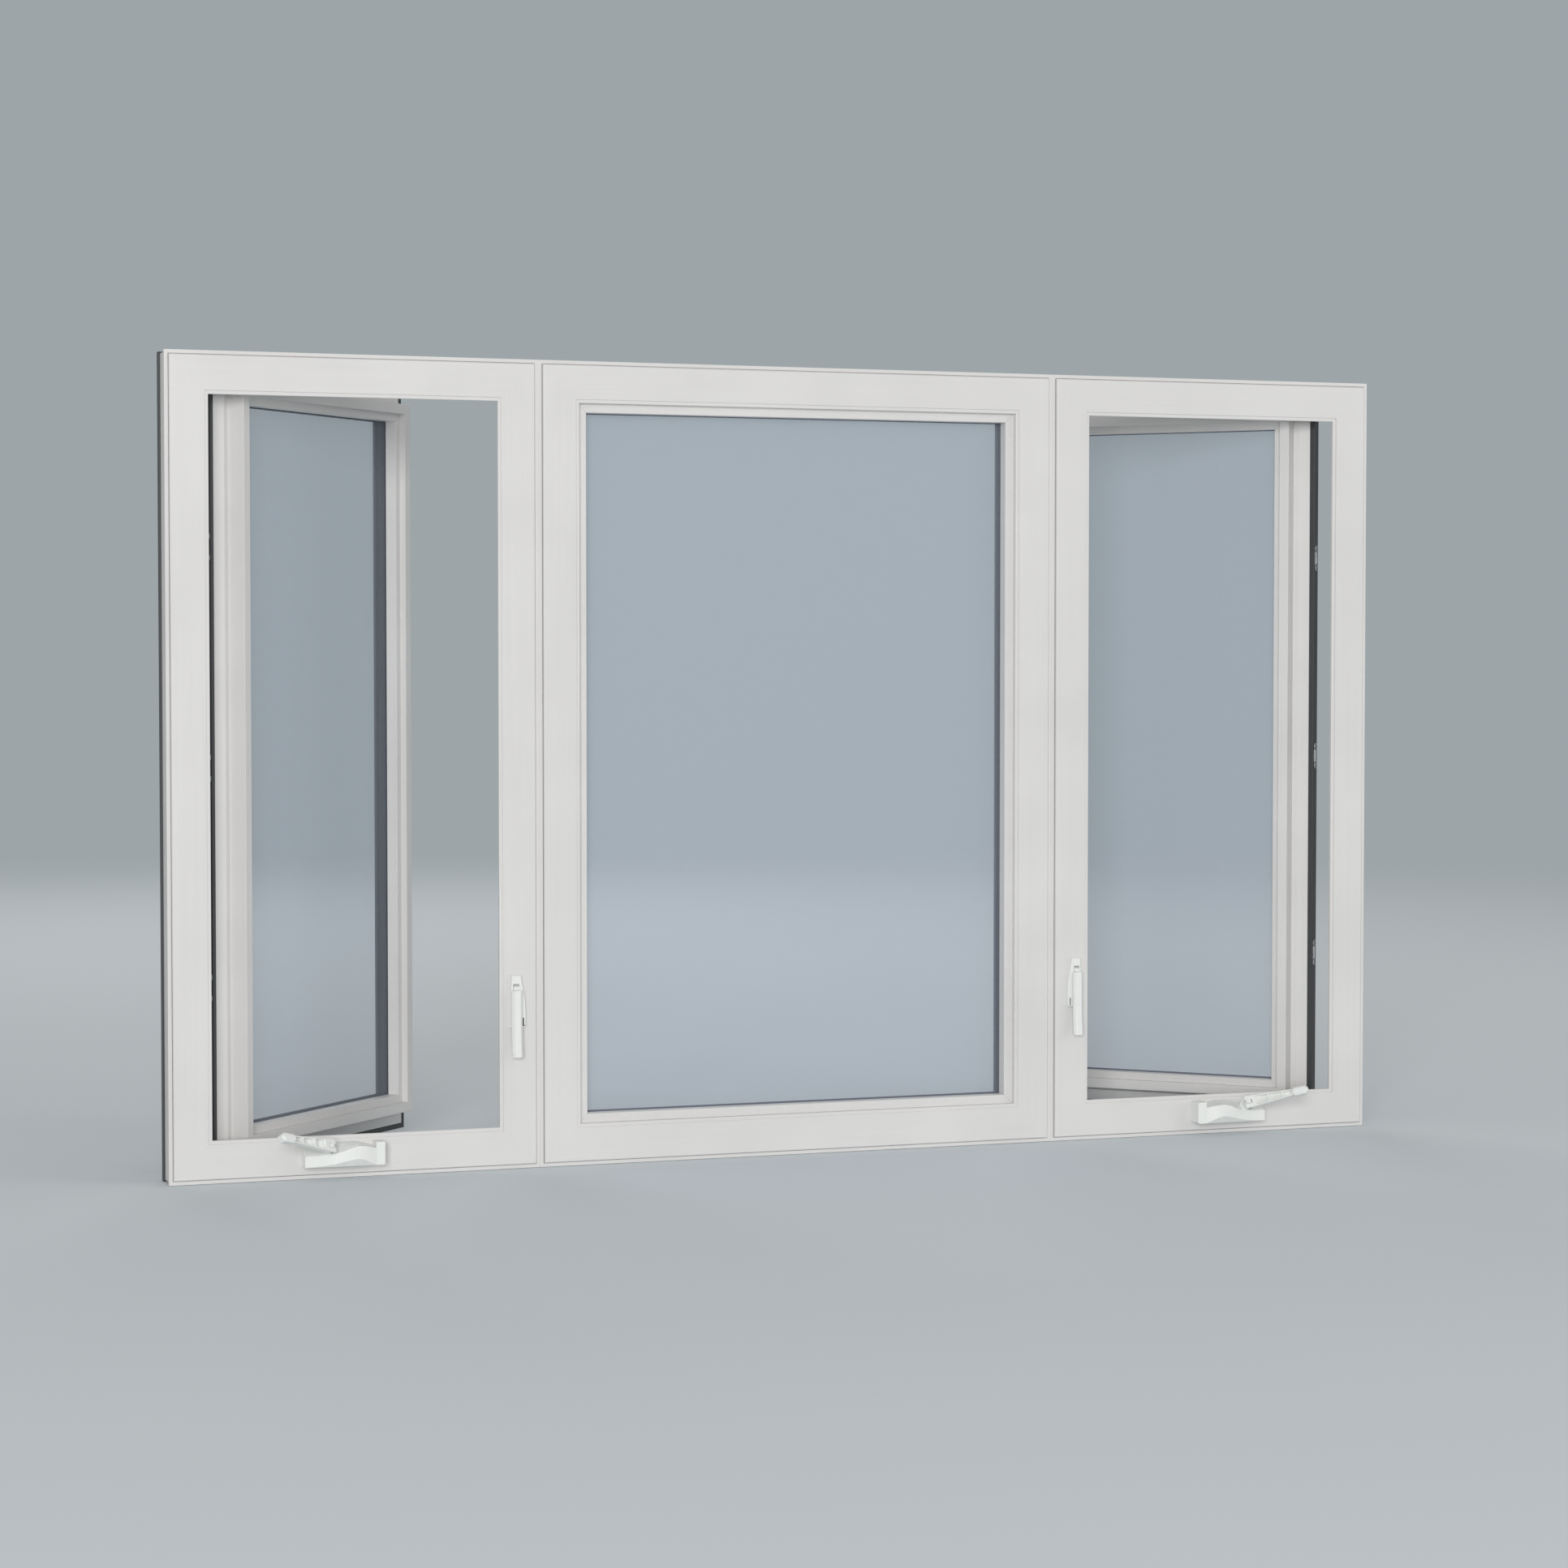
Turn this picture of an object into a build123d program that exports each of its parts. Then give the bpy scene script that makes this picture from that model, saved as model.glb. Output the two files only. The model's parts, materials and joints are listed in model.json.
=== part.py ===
from build123d import *
from math import cos, radians, sin
import os

# Combination casement window: a fixed picture light mulled between two crank-out casements.
# Millimetres. X runs along the window, Y outward through the wall, Z up.
# The origin lies in the middle of the sill's under face. Sections are drawn in u, inward
# from a unit's outer edge, and v, outward from the face that shows in the room.

# Units
casement_width = 609.6
picture_width = 914.4
window_height = 1320.8

# Frame section
lip_width = 6.0
lip_setback = 5.0
lip_thickness = 7.0
side_inset = 3.0
groove_width = 1.0
groove_depth = 3.0
panel_width = 56.0
panel_bevel = 1.5
stop_width = 6.0
stop_setback = 2.0
stop_thickness = 6.0
stop_bevel = 0.8
rebate_width = 26.0
seat_depth = 36.0
back_width = 6.0
body_depth = 56.0
cladding_depth = 14.0
mull_gap = 0.2
mitre_gap = 0.2

# Glazing
pane_thickness = 4.0
pane_gap = 14.0
glass_bite = 13.0
spacer_width = 8.0
spacer_inset = 2.5
edge_clearance = 1.6
bead_setback = 11.0
bead_bevel = 0.8
picture_bead_width = 14.6
picture_reveal = 21.0
stop_lip = 4.0
stop_slope = 10.0

# Sash section, measured with the sash shut
sash_edge = 14.0
sash_flange = 9.0
sash_flange_depth = 53.0
sash_slope_width = 17.0
sash_slope_rise = 9.0
sash_ledge = 10.0
rim_width = 17.0
rim_depth = 13.0
sash_bead_width = 12.8
sash_reveal = 20.0
sash_cladding_depth = 9.0

# Weatherstrip behind the frame's stop
seal_edge = 57.0
seal_width = 5.0
seal_height = 3.5
seal_bevel = 1.2

# Stay hinges: a shoe slides along the track while two equal arms swing the sash
open_angle = 45.0
arm_length = 108.5
shoe_inset = 22.0
track_line = 53.0
track_width = 14.0
track_base = 1.5
track_lip = 1.0
track_lip_height = 1.5
track_overrun = 14.0
pivot_radius = 3.0
running_fit = 0.05
slide_fit = 0.3
shoe_tail = 10.0
shoe_nose = 10.0
shoe_height = 2.8
stay_width = 14.0
stay_thickness = 1.7
stay_bevel = 4.5
sash_arm_length = 250.0
sash_arm_width = 16.0
sash_arm_thickness = 2.7
sash_arm_bevel = 5.0

# Groove along the ledge of each sash's bottom rail
ledge_groove_width = 3.0
ledge_groove_depth = 4.0
ledge_groove_inset = 4.5
ledge_groove_start = 90.0
ledge_groove_end = 110.0

# Snubbers on the hinge edge of each sash
snubber_pitch = 352.0
snubber_height = 44.0
snubber_width = 13.0
snubber_thickness = 1.4
snubber_hook = 3.0
snubber_tab_height = 20.0
snubber_tab_width = 8.0
snubber_neck_height = 24.0
snubber_neck_width = 7.0

# Operator cover: a tall end box, then a bulge that sweeps down towards the hinge side
cover_lock_inset = 342.8
cover_bottom = 22.5
cover_box_width = 16.0
cover_box_reach = 31.0
cover_box_top = 59.5
cover_box_round = 3.0
cover_slope = 1.15

# One row for each section of the sweep: distance from the lock end, reach out of the frame,
# bulge beyond that, height of the front edge and height of the back edge
cover_sections = [
    (15.5, 31.0, 0.6, 50.0, 50.5),
    (22.0, 31.0, 3.0, 51.5, 53.0),
    (32.0, 30.7, 7.5, 54.0, 56.5),
    (43.0, 30.3, 10.5, 55.5, 59.0),
    (55.0, 30.0, 10.0, 53.5, 59.5),
    (70.0, 29.5, 7.0, 48.0, 59.5),
    (85.0, 29.0, 4.0, 44.0, 59.5),
    (100.0, 28.5, 2.0, 42.0, 59.5),
    (115.0, 28.0, 1.0, 41.0, 59.0),
    (131.0, 27.0, 0.6, 40.0, 58.0),
]

# Crank and folding handle
crank_inset = 251.0
crank_tilt = 28.0
crank_face_reach = 29.0
crank_face_height = 51.0
crank_boss_radius = 10.0
crank_boss_depth = 20.0
spindle_radius = 7.0
spindle_seat = 12.0
spindle_rise = 6.0
hub_rise = 14.0
tongue_width = 6.0
tongue_radius = 6.0
tongue_clearance = 2.0
tongue_overlap = 1.0
handle_angle = 61.0
handle_tail = 6.0
handle_neck = 78.0
handle_tail_width = 22.5
handle_neck_width = 11.5
handle_depth = 9.0
handle_wall = 1.8
handle_corner = 3.0
cell_starts = [14.0, 37.0, 62.0]
cell_ends = [34.0, 59.0, 76.0]
knob_length = 30.0
knob_width = 15.0
knob_depth = 14.0
knob_bevel = 3.5
knob_corner = 5.0
fold_pin_radius = 2.0

# Operator arm and the slotted bracket that it pushes
operator_pivot_inset = 280.0
operator_pivot_depth = 20.0
operator_arm_length = 139.0
operator_arm_angle = 136.41
operator_arm_width = 16.0
operator_arm_thickness = 5.0
operator_arm_bevel = 5.0
operator_arm_lift = 2.0
stud_radius = 3.0
stud_fit = 0.4
stud_rise = 13.0
bracket_length = 40.0
bracket_depth = 18.0
bracket_height = 14.0
bracket_roof = 3.0
stud_travel = 16.0
slot_shift = 2.0

# Lock lever on the mull jamb, and its escutcheon drawn from the lever's middle line
lock_inset = 43.5
escutcheon_depth = 8.0
escutcheon_bevel = 1.5
escutcheon_outline = [
    (-7.4, 318.0),
    (8.5, 318.0),
    (12.0, 297.0),
    (15.3, 279.0),
    (16.5, 255.0),
    (16.5, 236.0),
    (13.5, 233.0),
    (-9.0, 233.0),
    (-9.0, 297.0),
]
escutcheon_slit_width = 2.6
escutcheon_slit_height = 13.0
escutcheon_slit_middle = (12.0, 242.0)
lock_slot_width = 10.0
lock_slot_bottom = 280.0
lock_slot_top = 304.0
lock_pivot_height = 296.0
lock_pivot_depth = 5.2
lock_pin_radius = 2.0
lock_hub_radius = 4.6
lock_neck_width = 9.0
lock_neck_drop = 9.0
lever_width = 17.5
lever_top = 293.5
lever_bottom = 185.0
lever_back = 10.0
lever_front = 18.0
lever_flare = 4.0
lever_bevel = 4.0

# Installation screws through the outer jambs
screw_radius = 2.5
screw_depth = 22.0
screw_pitch = 800.0

# Places worked out from the sizes above
bottom = -side_inset
top = bottom + window_height
middle = (bottom + top) / 2
lip_back = lip_setback + lip_thickness
room_face = -(lip_back + body_depth) / 2
picture_half = picture_width / 2
window_half = picture_half + casement_width
casement_center = -(picture_half + casement_width / 2)
panel_start = lip_width + groove_width
panel_end = panel_start + panel_width
stop_edge = panel_end + stop_width
stop_back = stop_setback + stop_thickness
frame_depth = body_depth + cladding_depth
glass_thickness = 2 * pane_thickness + pane_gap

sash_flange_end = sash_edge + sash_flange
sash_ledge_start = sash_flange_end + sash_slope_width
rim_edge = sash_ledge_start + sash_ledge
rim_end = rim_edge + rim_width
sash_ledge_depth = sash_flange_depth - sash_slope_rise
sash_bead_face = rim_depth + bead_setback
sash_glass_face = sash_bead_face + sash_reveal
sash_sight = rim_end + sash_bead_width
sash_glass_edge = sash_sight - glass_bite
sash_body_back = sash_glass_face + glass_thickness
sash_back = sash_body_back + sash_cladding_depth

picture_bead_face = stop_setback + bead_setback
picture_glass_face = picture_bead_face + picture_reveal
picture_sight = stop_edge + picture_bead_width
picture_glass_edge = picture_sight - glass_bite

# Stay geometry in plan: the shoe's pivot when shut and open, and the two arms' pivots
hinge_side = -window_half
track_y = room_face + track_line
shoe_shut_x = hinge_side + shoe_inset
anchor_x = shoe_shut_x + 2 * arm_length
shoe_x = anchor_x - 2 * arm_length * cos(radians(open_angle))
knee_x = anchor_x - arm_length * cos(radians(open_angle))
knee_y = track_y + arm_length * sin(radians(open_angle))
swing = (
    Location((shoe_x, track_y, 0))
    * Location((0, 0, 0), (0, 0, open_angle))
    * Location((-shoe_shut_x, -track_y, 0))
)


def swung(plane):
    return Plane(swing * plane.location)


def unit_edges(center_x, width):
    half = width / 2
    return {
        "left": (Plane((center_x - half, room_face, middle), (1, 0, 0), (0, 0, 1)), window_height),
        "right": (Plane((center_x + half, room_face, middle), (-1, 0, 0), (0, 0, -1)), window_height),
        "sill": (Plane((center_x, room_face, bottom), (0, 0, 1), (-1, 0, 0)), width),
        "head": (Plane((center_x, room_face, top), (0, 0, -1), (1, 0, 0)), width),
    }


def mitre_ends(plane, length, gap):
    # Cuts both ends of the bar being built at 45 degrees
    for end in (1, -1):
        corner = plane.origin + plane.z_dir * (end * length / 2)
        inward = (plane.z_dir * -end - plane.x_dir).normalized()
        split(bisect_by=Plane(corner + inward * (gap / 2), z_dir=inward), keep=Keep.TOP)


def bar(outline, plane, length, gap=0.0):
    # A straight extrusion with mitred ends
    with BuildPart() as piece:
        with BuildSketch(plane):
            with BuildLine():
                Polyline(*outline, close=True)
            make_face()
        extrude(amount=length / 2, both=True)
        mitre_ends(plane, length, gap)
    return piece.part


def seal_bar(plane, length):
    # One side of the weatherstrip, a bulb on the back of the stop
    with BuildPart() as piece:
        with BuildSketch(plane):
            with BuildLine():
                Polyline(
                    (seal_edge, stop_back),
                    (seal_edge + seal_width, stop_back),
                    (seal_edge + seal_width - seal_bevel, stop_back + seal_height),
                    (seal_edge + seal_bevel, stop_back + seal_height),
                    close=True,
                )
            make_face()
        extrude(amount=length / 2, both=True)
        mitre_ends(plane, length, mitre_gap)
    return piece.part


def ring(outline, edges, open_sash=False):
    # Four mitred bars a hair apart, kept together as one set
    pieces = []
    for plane, length in edges.values():
        pieces.append(bar(outline, swung(plane) if open_sash else plane, length, mitre_gap))
    with BuildPart() as bars:
        add(pieces)
    return bars.part


def save(part, name):
    part.label = name
    export_step(part, f"parts/{name}.step")


def save_pair(part, name):
    save(part, f"left_{name}")
    with BuildPart() as twin:
        mirror(part, about=Plane.YZ)
    save(twin.part, f"right_{name}")


os.makedirs("parts", exist_ok=True)
casement = unit_edges(casement_center, casement_width)
picture = unit_edges(0, picture_width)

# Frame sections
front_outline = [
    (0, lip_setback),
    (lip_width, lip_setback),
    (lip_width, lip_setback + groove_depth),
    (panel_start, lip_setback + groove_depth),
    (panel_start, panel_bevel),
    (panel_start + panel_bevel, 0),
    (panel_end, 0),
    (panel_end, stop_setback),
    (stop_edge - stop_bevel, stop_setback),
    (stop_edge, stop_setback + stop_bevel),
]
side_outline = [(side_inset, body_depth), (side_inset, lip_back), (0, lip_back)]
casement_outline = front_outline + [
    (stop_edge, stop_back),
    (rebate_width, stop_back),
    (rebate_width, seat_depth),
    (back_width, seat_depth),
    (back_width, body_depth),
] + side_outline
picture_outline = front_outline + [(stop_edge, body_depth)] + side_outline

# Casement frames, four welded members each
for member, edge in (("head", "head"), ("sill", "sill"), ("lock_jamb", "right")):
    plane, length = casement[edge]
    save_pair(bar(casement_outline, plane, length), f"frame_{member}")

with BuildPart() as hinge_jamb:
    plane, length = casement["left"]
    add(bar(casement_outline, plane, length))
    with BuildSketch(Plane.YZ.offset(hinge_side)):
        with Locations((room_face + screw_depth, middle)):
            with GridLocations(0, screw_pitch, 1, 2):
                Circle(screw_radius)
    extrude(amount=rebate_width, mode=Mode.SUBTRACT)
save_pair(hinge_jamb.part, "frame_hinge_jamb")

# Picture frame
for member, edge in (("head", "head"), ("sill", "sill"), ("left_jamb", "left"), ("right_jamb", "right")):
    plane, length = picture[edge]
    save(bar(picture_outline, plane, length), f"picture_{member}")

# Dark cladding over the outdoor face of all three frames
casement_cladding = [
    (mull_gap / 2, body_depth),
    (back_width, body_depth),
    (back_width, frame_depth),
    (mull_gap / 2, frame_depth),
]
picture_cladding = [
    (mull_gap / 2, body_depth),
    (picture_sight, body_depth),
    (picture_sight, body_depth + stop_lip),
    (picture_sight - stop_slope, frame_depth),
    (mull_gap / 2, frame_depth),
]
with BuildPart() as exterior_cladding:
    add(ring(casement_cladding, casement))
    mirror(about=Plane.YZ)
    add(ring(picture_cladding, picture))
save(exterior_cladding.part, "exterior_cladding")

# Weatherstrip round the back of each casement's stop
seal_bars = [seal_bar(plane, length) for plane, length in casement.values()]
with BuildPart() as frame_seals:
    add(seal_bars)
    mirror(about=Plane.YZ)
save(frame_seals.part, "frame_seals")

# Sash members
sash_outline = [
    (rim_edge, rim_depth),
    (rim_end, rim_depth),
    (rim_end, sash_glass_face),
    (sash_glass_edge - edge_clearance, sash_glass_face),
    (sash_glass_edge - edge_clearance, sash_body_back),
    (sash_flange_end, sash_body_back),
    (sash_flange_end, sash_flange_depth),
    (sash_ledge_start, sash_ledge_depth),
    (rim_edge, sash_ledge_depth),
]
for member, edge in (("top_rail", "head"), ("hinge_stile", "left"), ("lock_stile", "right")):
    plane, length = casement[edge]
    save_pair(bar(sash_outline, swung(plane), length), f"sash_{member}")

# The bottom rail has an accessory groove in its ledge, which stops short of both corners
sill_plane, sill_length = casement["sill"]
groove_length = casement_width - ledge_groove_start - ledge_groove_end
groove_plane = swung(sill_plane.offset((ledge_groove_end - ledge_groove_start) / 2))
bottom_bar = bar(sash_outline, swung(sill_plane), sill_length)
with BuildPart() as bottom_rail:
    add(bottom_bar)
    with BuildSketch(groove_plane):
        with Locations((sash_ledge_start + ledge_groove_inset, sash_ledge_depth)):
            Rectangle(ledge_groove_width, 2 * ledge_groove_depth)
    extrude(amount=groove_length / 2, both=True, mode=Mode.SUBTRACT)
save_pair(bottom_rail.part, "sash_bottom_rail")

sash_cladding_outline = [
    (sash_edge, sash_flange_depth),
    (sash_flange_end, sash_flange_depth),
    (sash_flange_end, sash_body_back),
    (sash_sight, sash_body_back),
    (sash_sight, sash_body_back + stop_lip),
    (sash_sight - stop_slope, sash_back),
    (sash_edge, sash_back),
]
save_pair(ring(sash_cladding_outline, casement, True), "sash_cladding")


# Glass, spacer and bead of one light
def glass_panes(plane, width, inset):
    with BuildPart() as panes:
        for depth in (0, pane_thickness + pane_gap):
            with BuildSketch(plane.offset(depth)):
                Rectangle(width - 2 * inset, window_height - 2 * inset)
            extrude(amount=pane_thickness)
    return panes.part


def glass_spacer(plane, width, inset):
    outer = inset + spacer_inset
    inner = outer + spacer_width
    with BuildPart() as spacer:
        with BuildSketch(plane.offset(pane_thickness)):
            Rectangle(width - 2 * outer, window_height - 2 * outer)
            Rectangle(width - 2 * inner, window_height - 2 * inner, mode=Mode.SUBTRACT)
        extrude(amount=pane_gap)
    return spacer.part


def bead_outline(start, sight, face, back):
    return [
        (start, face),
        (sight - bead_bevel, face),
        (sight, face + bead_bevel),
        (sight, back),
        (start, back),
    ]


sash_glass_plane = swung(
    Plane((casement_center, room_face + sash_glass_face, middle), (1, 0, 0), (0, 1, 0))
)
save_pair(glass_panes(sash_glass_plane, casement_width, sash_glass_edge), "sash_glass")
save_pair(glass_spacer(sash_glass_plane, casement_width, sash_glass_edge), "sash_spacer")
sash_bead_outline = bead_outline(rim_end, sash_sight, sash_bead_face, sash_glass_face)
save_pair(ring(sash_bead_outline, casement, True), "sash_bead")

picture_glass_plane = Plane((0, room_face + picture_glass_face, middle), (1, 0, 0), (0, 1, 0))
save(glass_panes(picture_glass_plane, picture_width, picture_glass_edge), "picture_glass")
save(glass_spacer(picture_glass_plane, picture_width, picture_glass_edge), "picture_spacer")
picture_bead_outline = bead_outline(stop_edge, picture_sight, picture_bead_face, picture_glass_face)
save(ring(picture_bead_outline, picture), "picture_bead")

# Stay hinges: levels above the sill's seat, lowest first
track_floor = bottom + back_width
shoe_floor = track_floor + track_base + slide_fit / 2
shoe_roof = shoe_floor + shoe_height
stay_floor = track_floor + track_base + track_lip_height + slide_fit
stay_roof = stay_floor + stay_thickness
sash_underside = bottom + sash_edge
sash_arm_floor = sash_underside - sash_arm_thickness
head_plane = Plane.XY.offset(middle)

with BuildPart() as stay_tracks:
    track_start = shoe_shut_x - track_overrun
    track_length = anchor_x + track_overrun - track_start
    with BuildSketch(Plane.YZ.offset(track_start)):
        with Locations((track_y, track_floor)):
            Rectangle(track_width, track_base + track_lip_height, align=(Align.CENTER, Align.MIN))
        with Locations((track_y, track_floor + track_base)):
            Rectangle(
                track_width - 2 * track_lip,
                track_lip_height,
                align=(Align.CENTER, Align.MIN),
                mode=Mode.SUBTRACT,
            )
    extrude(amount=track_length)
    with BuildSketch(Plane.XY.offset(track_floor + track_base)):
        with Locations((anchor_x, track_y)):
            Circle(pivot_radius)
    extrude(amount=stay_roof - track_floor - track_base)
    mirror(about=head_plane)
    mirror(about=Plane.YZ)
save(stay_tracks.part, "stay_tracks")

with BuildPart() as support_arms:
    with BuildSketch(Plane.XY.offset(stay_floor)) as stay_strip:
        with BuildLine():
            run = Line((anchor_x, track_y), (knee_x, knee_y))
        with Locations(Location(run @ 0.5, (0, 0, 180 - open_angle))):
            Rectangle(arm_length + stay_width, stay_width)
        chamfer(stay_strip.vertices(), stay_bevel)
        with Locations((anchor_x, track_y)):
            Circle(pivot_radius + running_fit, mode=Mode.SUBTRACT)
    extrude(amount=stay_thickness)
    with BuildSketch(Plane.XY.offset(stay_roof)):
        with Locations((knee_x, knee_y)):
            Circle(pivot_radius)
    extrude(amount=sash_underside - stay_roof - slide_fit)
    mirror(about=head_plane)
save_pair(support_arms.part, "support_arms")

with BuildPart() as stay_shoes:
    with BuildSketch(Plane.XY.offset(shoe_floor)):
        with Locations((shoe_x + (shoe_nose - shoe_tail) / 2, track_y)):
            Rectangle(shoe_nose + shoe_tail, track_width - 2 * track_lip - 2 * slide_fit)
    extrude(amount=shoe_height)
    with BuildSketch(Plane.XY.offset(shoe_roof)):
        with Locations((shoe_x, track_y)):
            Circle(pivot_radius)
    extrude(amount=sash_underside - shoe_roof - slide_fit)
    mirror(about=head_plane)
save_pair(stay_shoes.part, "stay_shoes")

# Sash arms, screwed under and over the sash
arm_plane = swung(Plane((shoe_shut_x, track_y, sash_arm_floor), (1, 0, 0), (0, 0, 1)))
with BuildPart() as sash_arms:
    with BuildSketch(arm_plane) as arm_strip:
        with Locations((sash_arm_length / 2 - sash_arm_width / 2, sash_arm_width / 4)):
            Rectangle(sash_arm_length, sash_arm_width)
        chamfer(arm_strip.vertices(), sash_arm_bevel)
        with Locations((0, 0), (arm_length, 0)):
            Circle(pivot_radius + running_fit, mode=Mode.SUBTRACT)
    extrude(amount=sash_arm_thickness)
    mirror(about=head_plane)
save_pair(sash_arms.part, "sash_arms")

# Operator arm: it turns on the sill and its stud pushes the sash through a short slot
operator_x = hinge_side + operator_pivot_inset
operator_y = room_face + operator_pivot_depth
stud_x = operator_x + operator_arm_length * cos(radians(operator_arm_angle))
stud_y = operator_y + operator_arm_length * sin(radians(operator_arm_angle))
operator_floor = bottom + rebate_width + operator_arm_lift
rim_underside = bottom + rim_edge
with BuildPart() as operator_arm:
    with BuildSketch(Plane.XY.offset(operator_floor)) as arm_blank:
        with BuildLine():
            reach = Line((operator_x, operator_y), (stud_x, stud_y))
        with Locations(Location(reach @ 0.5, (0, 0, operator_arm_angle))):
            Rectangle(operator_arm_length + operator_arm_width, operator_arm_width)
        chamfer(arm_blank.vertices(), operator_arm_bevel)
    extrude(amount=operator_arm_thickness)
    with BuildSketch(Plane.XY.offset(operator_floor - operator_arm_lift + slide_fit)):
        with Locations((operator_x, operator_y)):
            Circle(operator_arm_width / 2)
    extrude(amount=operator_arm_lift)
    with BuildSketch(Plane.XY.offset(operator_floor + operator_arm_thickness)):
        with Locations((stud_x, stud_y)):
            Circle(stud_radius)
    extrude(amount=stud_rise)
save_pair(operator_arm.part, "operator_arm")

stud_shut = (swing.inverse() * Location((stud_x, stud_y, 0))).position
slot_middle = (stud_shut.X + slot_shift, stud_shut.Y, rim_underside)
bracket_plane = swung(Plane(slot_middle, (1, 0, 0), (0, 0, 1)))
with BuildPart() as stud_bracket:
    with BuildSketch(bracket_plane):
        Rectangle(bracket_length, bracket_depth)
    extrude(amount=-bracket_height)
    with BuildSketch(bracket_plane.offset(-bracket_height)):
        SlotCenterToCenter(stud_travel, 2 * (stud_radius + stud_fit))
    extrude(amount=bracket_height - bracket_roof, mode=Mode.SUBTRACT)
save_pair(stud_bracket.part, "stud_bracket")

# Snubbers: a screwed plate with a raised tab that catches the frame
snubber_y = room_face + (sash_flange_depth + sash_back) / 2
snubber_plane = swung(Plane((hinge_side + sash_edge, snubber_y, middle), (0, 1, 0), (-1, 0, 0)))
with BuildPart() as snubbers:
    with BuildSketch(snubber_plane):
        with GridLocations(0, snubber_pitch, 1, 3):
            Rectangle(snubber_width, snubber_height)
            with Locations((snubber_width / 2, 0)):
                Rectangle(
                    snubber_width - snubber_neck_width,
                    snubber_neck_height,
                    align=(Align.MAX, Align.CENTER),
                    mode=Mode.SUBTRACT,
                )
    extrude(amount=snubber_thickness)
    with BuildSketch(snubber_plane):
        with GridLocations(0, snubber_pitch, 1, 3):
            with Locations((-snubber_width / 2, 0)):
                Rectangle(snubber_tab_width, snubber_tab_height, align=(Align.MIN, Align.CENTER))
    extrude(amount=snubber_hook)
save_pair(snubbers.part, "snubbers")

# Operator cover, a moulded housing on the room face of the sill
crank_axis = Vector(0, -cos(radians(crank_tilt)), sin(radians(crank_tilt)))
fold_axis = Vector(0, sin(radians(crank_tilt)), cos(radians(crank_tilt)))
crank_x = hinge_side + crank_inset
crank_origin = (crank_x, room_face - crank_face_reach, bottom + crank_face_height)
crank_face = Plane(crank_origin, (1, 0, 0), crank_axis)
cover_lock_x = hinge_side + cover_lock_inset
cover_floor = bottom + cover_bottom
with BuildPart() as operator_covers:
    for along, reach_out, bulge, front_height, back_height in cover_sections:
        front_y = room_face - reach_out - bulge
        with BuildSketch(Plane.YZ.offset(cover_lock_x - along)):
            with BuildLine():
                Polyline(
                    (room_face, cover_floor),
                    (room_face - reach_out, cover_floor),
                    (front_y, cover_floor + cover_slope * bulge),
                    (front_y, bottom + front_height),
                    (room_face, bottom + back_height),
                    close=True,
                )
            make_face()
    loft()
    with BuildSketch(Plane.XZ.offset(-room_face)):
        with Locations((cover_lock_x, cover_floor)):
            Rectangle(cover_box_width, cover_box_top - cover_bottom, align=(Align.MAX, Align.MIN))
    extrude(amount=cover_box_reach)
    box_rounds = operator_covers.edges().filter_by(Axis.Y).sort_by(Axis.X)[-2:]
    box_rounds += operator_covers.edges().filter_by(Axis.Z).group_by(Axis.X)[-1].sort_by(Axis.Y)[:1]
    fillet(box_rounds, cover_box_round)
    with BuildSketch(crank_face):
        Circle(crank_boss_radius)
    extrude(amount=-crank_boss_depth)
    with BuildSketch(crank_face):
        Circle(spindle_radius + running_fit)
    extrude(amount=-spindle_seat - slide_fit, mode=Mode.SUBTRACT)
    mirror(about=Plane.YZ)
save(operator_covers.part, "operator_covers")

# Crank: the spindle turns in the cover and carries the folding handle on a tongue
hub = Plane(crank_face.origin + crank_axis * hub_rise, x_dir=(1, 0, 0), z_dir=fold_axis)
with BuildPart() as crank_spindle:
    with BuildSketch(crank_face.offset(-spindle_seat)):
        Circle(spindle_radius)
    extrude(amount=spindle_seat + spindle_rise)
    with BuildSketch(hub.offset(-tongue_width / 2)):
        Circle(tongue_radius)
        Rectangle(
            2 * tongue_radius,
            hub_rise - spindle_rise + tongue_overlap,
            align=(Align.CENTER, Align.MIN),
        )
        Circle(fold_pin_radius + running_fit, mode=Mode.SUBTRACT)
    extrude(amount=tongue_width)
save_pair(crank_spindle.part, "crank_spindle")

# Handle: a tapered shell with ribs, open towards the room, and a rounded knob at its end
side_turn = sin(radians(handle_angle))
face_turn = cos(radians(handle_angle))
handle_run = crank_axis * face_turn - Vector(1, 0, 0) * side_turn
handle_out = crank_axis * side_turn + Vector(1, 0, 0) * face_turn
handle_face = Plane(hub.origin, x_dir=handle_run, z_dir=handle_out)
handle_turn = Plane(hub.origin, x_dir=handle_run, z_dir=fold_axis)
run_axis = Axis(hub.origin, handle_run)
out_axis = Axis(hub.origin, handle_out)


def handle_half_width(along):
    share = (along + handle_tail) / (handle_neck + handle_tail)
    return (handle_tail_width + share * (handle_neck_width - handle_tail_width)) / 2


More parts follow.
